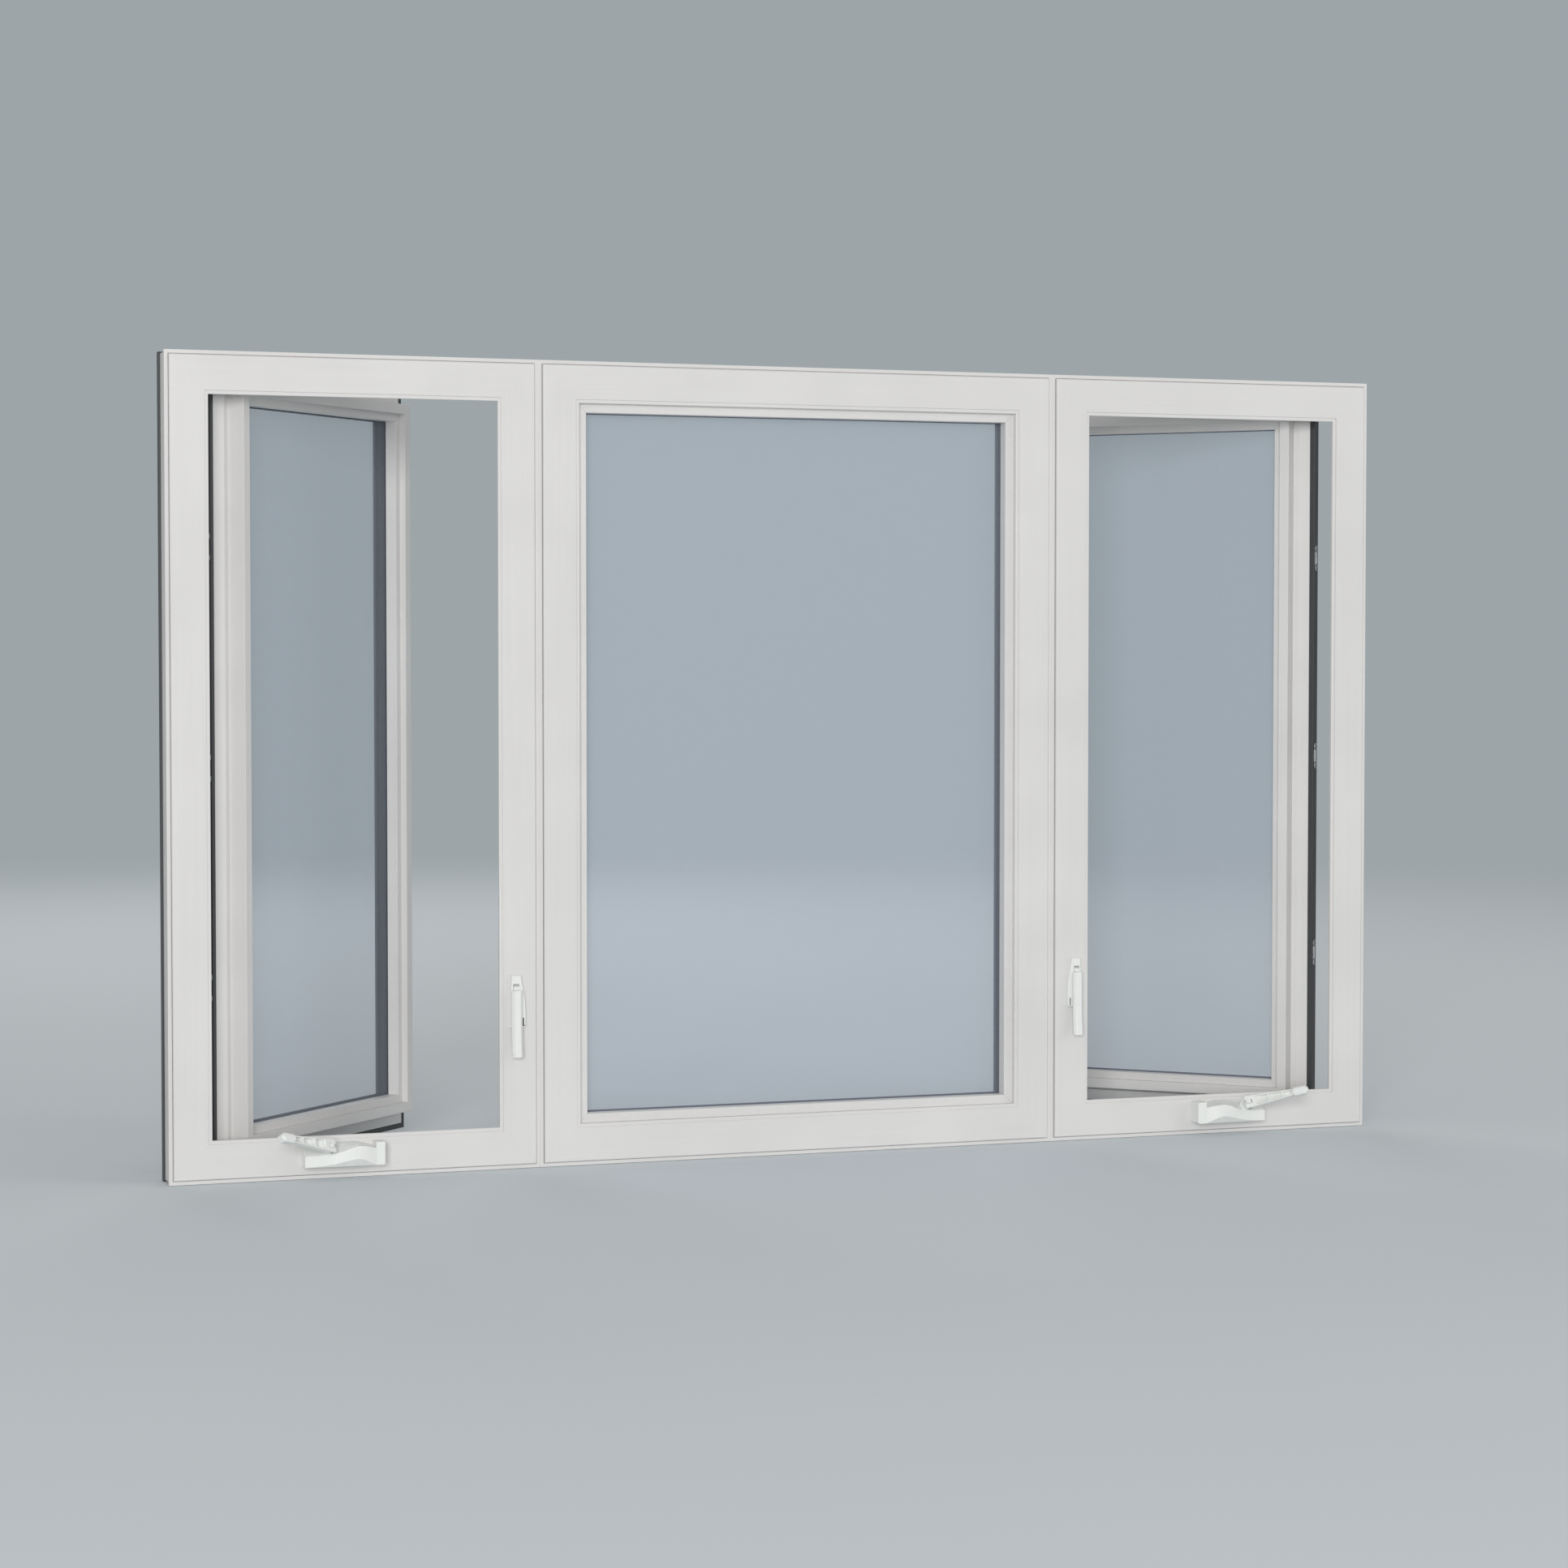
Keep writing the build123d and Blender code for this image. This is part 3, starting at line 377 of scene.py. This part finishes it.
# One tree makes every small head: a flattened dome with a cross recess drawn as a dark cross, which is painted shade,
# on points that carry
#  the direction they face
def fittingTree():
    tree = bpy.data.node_groups.new("fittingHeads", "GeometryNodeTree")
    sockets = {"Points": "Geometry", "Head Radius": "Float", "Head Height": "Float", "Recess Length": "Float",
               "Recess Width": "Float", "Head Finish": "Material", "Recess Painted Shade": "Material"}
    for name, kind in sockets.items():
        tree.interface.new_socket(name=name, in_out="INPUT", socket_type="NodeSocket" + kind)
    tree.interface.new_socket(name="Heads", in_out="OUTPUT", socket_type="NodeSocketGeometry")
    given = addNode(tree, "NodeGroupInput").outputs
    dome = addNode(tree, "GeometryNodeMeshUVSphere", {
        "Segments": headShape["segments"], "Rings": headShape["rings"], "Radius": 1.0})
    domeSize = addNode(tree, "ShaderNodeCombineXYZ", {
        "X": given["Head Radius"], "Y": given["Head Radius"], "Z": given["Head Height"]})
    head = addNode(tree, "GeometryNodeTransform", {
        "Geometry": dome.outputs["Mesh"], "Scale": domeSize.outputs["Vector"]})
    barSize = addNode(tree, "ShaderNodeCombineXYZ", {
        "X": given["Recess Length"], "Y": given["Recess Width"], "Z": given["Head Height"]})
    bar = addNode(tree, "GeometryNodeMeshCube", {"Size": barSize.outputs["Vector"]})
    lift = addNode(tree, "ShaderNodeMath", {
        0: given["Head Height"], 1: headShape["recessLift"]}, operation="MULTIPLY")
    liftBy = addNode(tree, "ShaderNodeCombineXYZ", {"Z": lift.outputs["Value"]})
    first = addNode(tree, "GeometryNodeTransform", {
        "Geometry": bar.outputs["Mesh"], "Translation": liftBy.outputs["Vector"]})
    second = addNode(tree, "GeometryNodeTransform", {
        "Geometry": first.outputs["Geometry"], "Rotation": (0, 0, math.radians(90))})
    cross = addNode(tree, "GeometryNodeJoinGeometry", {"Geometry": first.outputs["Geometry"]})
    tree.links.new(second.outputs["Geometry"], cross.inputs["Geometry"])
    marked = addNode(tree, "GeometryNodeStoreNamedAttribute", {
        "Geometry": cross.outputs["Geometry"], "Name": "recess", "Value": True}, data_type="BOOLEAN", domain="FACE")
    fitting = addNode(tree, "GeometryNodeJoinGeometry", {"Geometry": head.outputs["Geometry"]})
    tree.links.new(marked.outputs["Geometry"], fitting.inputs["Geometry"])
    facing = addNode(tree, "GeometryNodeInputNamedAttribute", {"Name": "facing"}, data_type="FLOAT_VECTOR")
    aim = addNode(tree, "FunctionNodeAlignRotationToVector", {"Vector": facing.outputs["Attribute"]}, axis="Z")
    placed = addNode(tree, "GeometryNodeInstanceOnPoints", {
        "Points": given["Points"], "Instance": fitting.outputs["Geometry"], "Rotation": aim.outputs["Rotation"]})
    real = addNode(tree, "GeometryNodeRealizeInstances", {"Geometry": placed.outputs["Instances"]})
    heads = addNode(tree, "GeometryNodeSetMaterial", {
        "Geometry": real.outputs["Geometry"], "Material": given["Head Finish"]})
    # The cross takes the recess material, black rubber standing as painted shade in the recess
    isRecess = addNode(tree, "GeometryNodeInputNamedAttribute", {"Name": "recess"}, data_type="BOOLEAN")
    done = addNode(tree, "GeometryNodeSetMaterial", {
        "Geometry": heads.outputs["Geometry"], "Selection": isRecess.outputs["Attribute"],
        "Material": given["Recess Painted Shade"]})
    addNode(tree, "NodeGroupOutput", {"Heads": done.outputs["Geometry"]})
    return tree


headTree = fittingTree()


def addHeads(name, body, points, sizes, finish):
    mesh = bpy.data.meshes.new(name)
    mesh.from_pydata([place * mm for place, facing in points], [], [])
    facingLayer = mesh.attributes.new("facing", "FLOAT_VECTOR", "POINT")
    for item, (place, facing) in zip(facingLayer.data, points):
        item.vector = facing
    piece = bpy.data.objects.new(name, mesh)
    scene.collection.objects.link(piece)
    heads = piece.modifiers.new("heads", "NODES")
    heads.node_group = headTree
    # The recess cross is given black rubber: painted shade in the screw recess
    values = {"Head Radius": sizes["radius"] * mm, "Head Height": sizes["height"] * mm,
              "Recess Length": sizes["recess"] * mm,
              "Recess Width": headShape["recessShare"] * sizes["recess"] * mm,
              "Head Finish": finish, "Recess Painted Shade": rubber}
    for socket in headTree.interface.items_tree:
        if socket.in_out == "INPUT" and socket.name in values:
            heads[socket.identifier] = values[socket.name]
    made = bpy.data.meshes.new_from_object(piece.evaluated_get(bpy.context.evaluated_depsgraph_get()))
    piece.modifiers.clear()
    for face in made.polygons:
        face.use_smooth = True
    made.set_sharp_from_angle(angle=math.radians(headShape["shadeSplit"]))
    piece.data = made
    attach(piece, body)


# Screws through the snubber ears, flush screws in the sash arms and tracks, jamb screws and handle rivets
snubberScrews = {"pitch": 352.0, "ear": 17.0, "depth": 59.0, "edge": 11.8,
                 "radius": 3.6, "height": 1.5, "recess": 4.2}
armScrews = {"along": (75.0, 150.0, 222.0), "line": 57.0, "level": 11.3,
             "radius": 3.2, "height": 0.22, "recess": 3.8}
trackScrews = {"along": (30.0, 120.0, 205.0), "line": 53.0, "level": 7.5,
               "radius": 3.0, "height": 0.1, "recess": 3.4}
jambScrews = {"pitch": 800.0, "depth": 22.0, "edge": 26.0, "radius": 4.6, "height": 1.7, "recess": 5.0}
foldRivets = {"reach": 10.8, "radius": 3.0, "height": 1.0, "recess": 0.4}
hinge, room, low, high = plan["hingeSide"], plan["roomFace"], plan["bottom"], plan["top"]
shoeShut = plan["shoeShut"][0]
jambPoints, trackPoints = [], []
for side in sides:
    sashPoints, armPoints = [], []
    for step in (-1, 0, 1):
        for ear in (-1, 1):
            level = plan["middle"] + step * snubberScrews["pitch"] + ear * snubberScrews["ear"]
            spot = onSash((hinge + snubberScrews["edge"], room + snubberScrews["depth"], level))
            sashPoints.append((onSide(spot, side), onSide(turned @ Vector((-1, 0, 0)), side)))
    for along in armScrews["along"]:
        for level, up in ((low + armScrews["level"], -1), (high - armScrews["level"], 1)):
            spot = onSash((shoeShut + along, room + armScrews["line"], level))
            armPoints.append((onSide(spot, side), Vector((0, 0, up))))
    for along in trackScrews["along"]:
        for level, up in ((low + trackScrews["level"], 1), (high - trackScrews["level"], -1)):
            spot = (shoeShut + along, room + trackScrews["line"], level)
            trackPoints.append((onSide(spot, side), Vector((0, 0, up))))
    for step in (-0.5, 0.5):
        level = plan["middle"] + step * jambScrews["pitch"]
        spot = (hinge + jambScrews["edge"], room + jambScrews["depth"], level)
        jambPoints.append((onSide(spot, side), onSide((1, 0, 0), side)))
    addHeads(f"{side}SnubberScrews", f"{side}_sash", sashPoints, snubberScrews, steel)
    addHeads(f"{side}SashArmScrews", f"{side}_sash", armPoints, armScrews, steel)
    # Rivet heads at both ends of the pin on which the handle folds
    pin = next(joint for joint in frame["joints"] if joint["name"] == f"{side}_handle_fold")
    axis = Vector(pin["axis"]).normalized()
    rivets = [(Vector(pin["pos_m"]) / mm + axis * end * foldRivets["reach"], axis * end) for end in (-1, 1)]
    addHeads(f"{side}FoldRivets", f"{side}_handle", rivets, foldRivets, steel)
addHeads("trackScrews", "frame", trackPoints, trackScrews, steel)
addHeads("jambScrews", "frame", jambPoints, jambScrews, steel)
print("screws placed")


# Each row of the rim: how far in (mm), and its share of the height
insertRim = {"steps": 24, "rows": ((0.0, 0.0), (0.0, 0.6), (0.25, 1.0)), "merge": 0.001}


# Ears, the dark slit plates of painted shade, plugs and hoods: flat plates with round corners and a soft rim
def addInsert(name, body, material, places, size, corner):
    shell = bmesh.new()
    for middle, across, up, out in places:
        rows = []
        for inset, lift in insertRim["rows"]:
            halfWidth, halfHeight = size[0] / 2 - inset, size[1] / 2 - inset
            ring = []
            for step in range(insertRim["steps"]):
                angle = 2 * math.pi * step / insertRim["steps"]
                x = math.copysign(halfWidth - corner, math.cos(angle)) + corner * math.cos(angle)
                z = math.copysign(halfHeight - corner, math.sin(angle)) + corner * math.sin(angle)
                spot = Vector(middle) + Vector(across) * x + Vector(up) * z + Vector(out) * (size[2] * lift)
                ring.append(shell.verts.new(spot * mm))
            rows.append(ring)
        for inner, outer in zip(rows, rows[1:]):
            for step in range(insertRim["steps"]):
                shell.faces.new((inner[step], inner[step - 1], outer[step - 1], outer[step]))
        shell.faces.new(rows[-1])
        shell.faces.new(list(reversed(rows[0])))
    bmesh.ops.remove_doubles(shell, verts=shell.verts, dist=insertRim["merge"] * mm)
    bmesh.ops.recalc_face_normals(shell, faces=shell.faces)
    mesh = bpy.data.meshes.new(name)
    shell.to_mesh(mesh)
    shell.free()
    mesh.materials.append(material)
    piece = bpy.data.objects.new(name, mesh)
    scene.collection.objects.link(piece)
    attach(piece, body)


# Rounded ears of the snubbers, lapped over their plates towards the room
snubberEars = {"edge": 12.6, "size": (11.0, 11.5, 0.8), "corner": 3.5}
for side in sides:
    across = onSide(turned @ Vector((0, 1, 0)), side)
    out = onSide(turned @ Vector((-1, 0, 0)), side)
    spots = []
    for step in (-1, 0, 1):
        for ear in (-1, 1):
            level = plan["middle"] + step * snubberScrews["pitch"] + ear * snubberScrews["ear"]
            spot = onSash((hinge + snubberEars["edge"], room + snubberScrews["depth"], level))
            spots.append((onSide(spot, side), across, (0, 0, 1), out))
    addInsert(f"{side}SnubberEars", f"{side}_sash", steel,
              spots, snubberEars["size"], snubberEars["corner"])

# Black rubber plate behind the slit of each lock plate: painted shade in the slit
lockSlit = {"middle": (-488.7, -34.0, 239.0), "size": (2.4, 12.8, 3.0), "corner": 1.0}
spots = [(onSide(lockSlit["middle"], side), (1, 0, 0), (0, 0, 1), (0, -1, 0)) for side in sides]
addInsert("lockSlitPaintedShade", "frame", rubber, spots, lockSlit["size"], lockSlit["corner"])

# Black plug in the groove of each bottom rail
groovePlug = {"along": {"left": 239.0, "right": 211.0}, "depth": 44.0, "level": 44.5,
              "size": (7.0, 2.9, 0.8), "corner": 1.3}
for side in sides:
    spot = onSash((hinge + groovePlug["along"][side], room + groovePlug["depth"], low + groovePlug["level"]))
    across = onSide(turned @ Vector((1, 0, 0)), side)
    out = onSide(turned @ Vector((0, -1, 0)), side)
    addInsert(f"{side}GroovePlug", f"{side}_sash", rubber,
              [(onSide(spot, side), across, (0, 0, 1), out)], groovePlug["size"], groovePlug["corner"])

# Hooded weep slots low on the outdoor face of the picture light and of both sashes
weep = {"size": (28.0, 6.0, 1.2), "corner": 2.8, "pictureAlong": (-300.0, 300.0), "pictureLevel": 25.0,
        "pictureDepth": 70.0, "sashAlong": (130.0, 480.0), "sashLevel": 30.0, "sashDepth": 75.0}
spots = [((along, room + weep["pictureDepth"], low + weep["pictureLevel"]), (1, 0, 0), (0, 0, 1), (0, 1, 0))
         for along in weep["pictureAlong"]]
addInsert("pictureWeepHoods", "frame", cladding, spots, weep["size"], weep["corner"])
for side in sides:
    across = onSide(turned @ Vector((1, 0, 0)), side)
    out = onSide(turned @ Vector((0, 1, 0)), side)
    spots = []
    for along in weep["sashAlong"]:
        spot = onSash((hinge + along, room + weep["sashDepth"], low + weep["sashLevel"]))
        spots.append((onSide(spot, side), across, (0, 0, 1), out))
    addInsert(f"{side}WeepHoods", f"{side}_sash", cladding,
              spots, weep["size"], weep["corner"])
print("inserts placed")

# Studio: a pale floor that fades into the background, with a key, a fill and a back lamp
studio = {
    "background": "#9DA5A8", "floor": "#E2E8EC", "floorSize": 30.0, "floorDrop": 0.5,
    "fadeStart": 3.0, "fadeEnd": 10.5,
    "ambient": 0.37, "keyPower": 890.0, "keyPlace": (-5.0, -11.5, 2.6), "keySize": 4.5,
    "fillPower": 110.0, "fillPlace": (6.5, -5.5, 3.0), "fillSize": 5.0,
    "backPower": 110.0, "backPlace": (0.5, 7.0, 5.0), "backSize": 5.0, "aim": (0, 0, 0.65),
}
half = studio["floorSize"] / 2
floorMesh = bpy.data.meshes.new("studioFloor")
floorLevel = cadBox[0][2] - studio["floorDrop"] * mm
corners = [(x * half, y * half, floorLevel) for x, y in ((-1, -1), (1, -1), (1, 1), (-1, 1))]
floorMesh.from_pydata(corners, [], [(0, 1, 2, 3)])
floor = bpy.data.objects.new("studioFloor", floorMesh)
scene.collection.objects.link(floor)
floorMaterial, tree = newMaterial("matFloor")
place = addNode(tree, "ShaderNodeTexCoord")
reach = addNode(tree, "ShaderNodeVectorMath", {0: place.outputs["Object"]}, operation="LENGTH")
fade = addNode(tree, "ShaderNodeMapRange", {
    "Value": reach.outputs["Value"], "From Min": studio["fadeStart"], "From Max": studio["fadeEnd"]},
    interpolation_type="SMOOTHSTEP")
matt = addNode(tree, "ShaderNodeBsdfDiffuse", {"Color": linear(studio["floor"])})
clear = addNode(tree, "ShaderNodeBsdfTransparent")
mix = addNode(tree, "ShaderNodeMixShader", {
    0: fade.outputs["Result"], 1: matt.outputs["BSDF"], 2: clear.outputs["BSDF"]})
addNode(tree, "ShaderNodeOutputMaterial", {"Surface": mix.outputs["Shader"]})
floorMesh.materials.append(floorMaterial)

world = bpy.data.worlds.new("studioWorld")
world.use_nodes = True
scene.world = world
tree = world.node_tree
tree.nodes.clear()
ray = addNode(tree, "ShaderNodeLightPath")
mirrored = addNode(tree, "ShaderNodeMath", {
    0: ray.outputs["Is Camera Ray"], 1: ray.outputs["Is Glossy Ray"]}, operation="MAXIMUM")
seen = addNode(tree, "ShaderNodeMath", {
    0: mirrored.outputs["Value"], 1: ray.outputs["Is Transmission Ray"]}, operation="MAXIMUM")
light = addNode(tree, "ShaderNodeBackground", {"Color": linear("#FFFFFF"), "Strength": studio["ambient"]})
backdrop = addNode(tree, "ShaderNodeBackground", {"Color": linear(studio["background"]), "Strength": 1.0})
mix = addNode(tree, "ShaderNodeMixShader", {
    0: seen.outputs["Value"], 1: light.outputs["Background"], 2: backdrop.outputs["Background"]})
addNode(tree, "ShaderNodeOutputWorld", {"Surface": mix.outputs["Shader"]})

for name in ("key", "fill", "back"):
    lamp = bpy.data.lights.new(name + "Lamp", "AREA")
    lamp.energy = studio[name + "Power"]
    lamp.size = studio[name + "Size"]
    holder = bpy.data.objects.new(name + "Lamp", lamp)
    holder.location = studio[name + "Place"]
    holder.rotation_euler = (Vector(studio["aim"]) - holder.location).to_track_quat("-Z", "Y").to_euler()
    scene.collection.objects.link(holder)

# Camera at the photograph's place
shot = {"place": (-2.04298, -5.61313, 0.84144), "turn": (87.875, 0.0, -19.806), "lens": 81.37, "sensor": 36.0}
lens = bpy.data.cameras.new("shotCamera")
lens.lens = shot["lens"]
lens.sensor_width = shot["sensor"]
camera = bpy.data.objects.new("shotCamera", lens)
camera.location = shot["place"]
camera.rotation_euler = [math.radians(angle) for angle in shot["turn"]]
scene.collection.objects.link(camera)
scene.camera = camera
print("studio set")
